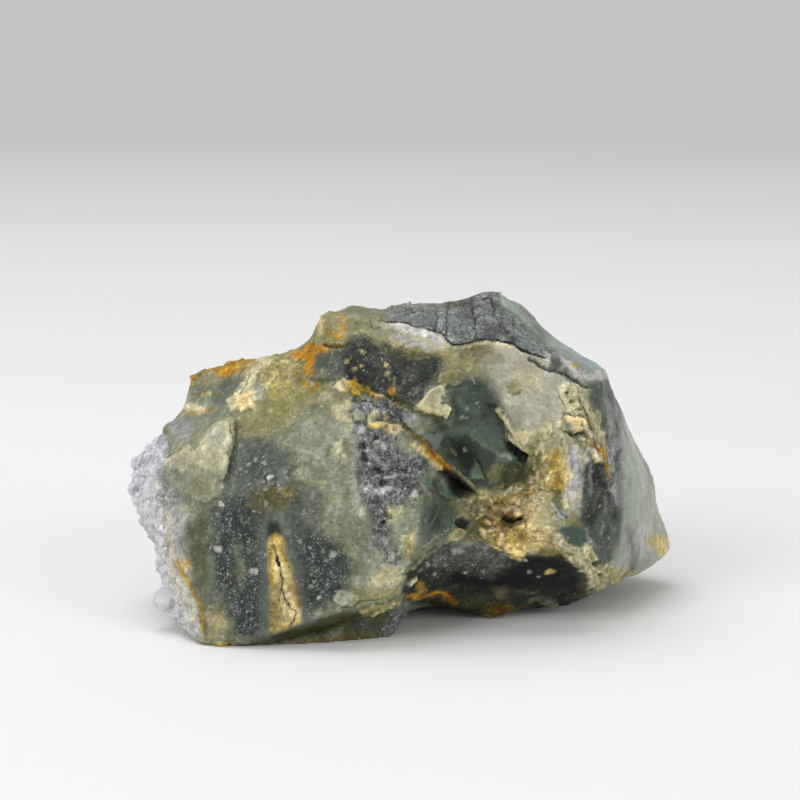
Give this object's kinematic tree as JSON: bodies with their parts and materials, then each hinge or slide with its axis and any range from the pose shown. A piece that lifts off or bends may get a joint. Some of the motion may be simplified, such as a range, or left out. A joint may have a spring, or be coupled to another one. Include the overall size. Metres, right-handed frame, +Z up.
{
  "type": "rough chalcedony stone with amethyst druse",
  "caption": "Hand-sized rough lump of banded green and grey chalcedony with a crust of pale amethyst crystals on one side and a weathered rind on top.",
  "frame": {"origin": "on the surface that the stone rests on, under the middle of its bounding box", "axes": "+Z up, +X along the stone's length with the crystal crust at the -X end, -Y out of the most detailed broken face"},
  "size_m": [0.0938, 0.0632, 0.0537],
  "materials": {
    "chalcedony": "waxy to granular broken stone in grey-green, ochre and near-black bands, opaque",
    "amethyst": "small glassy crystals, white with a trace of lilac"
  },
  "bodies": {
    "root": {"stone": "chalcedony"}
  },
  "joints": []
}
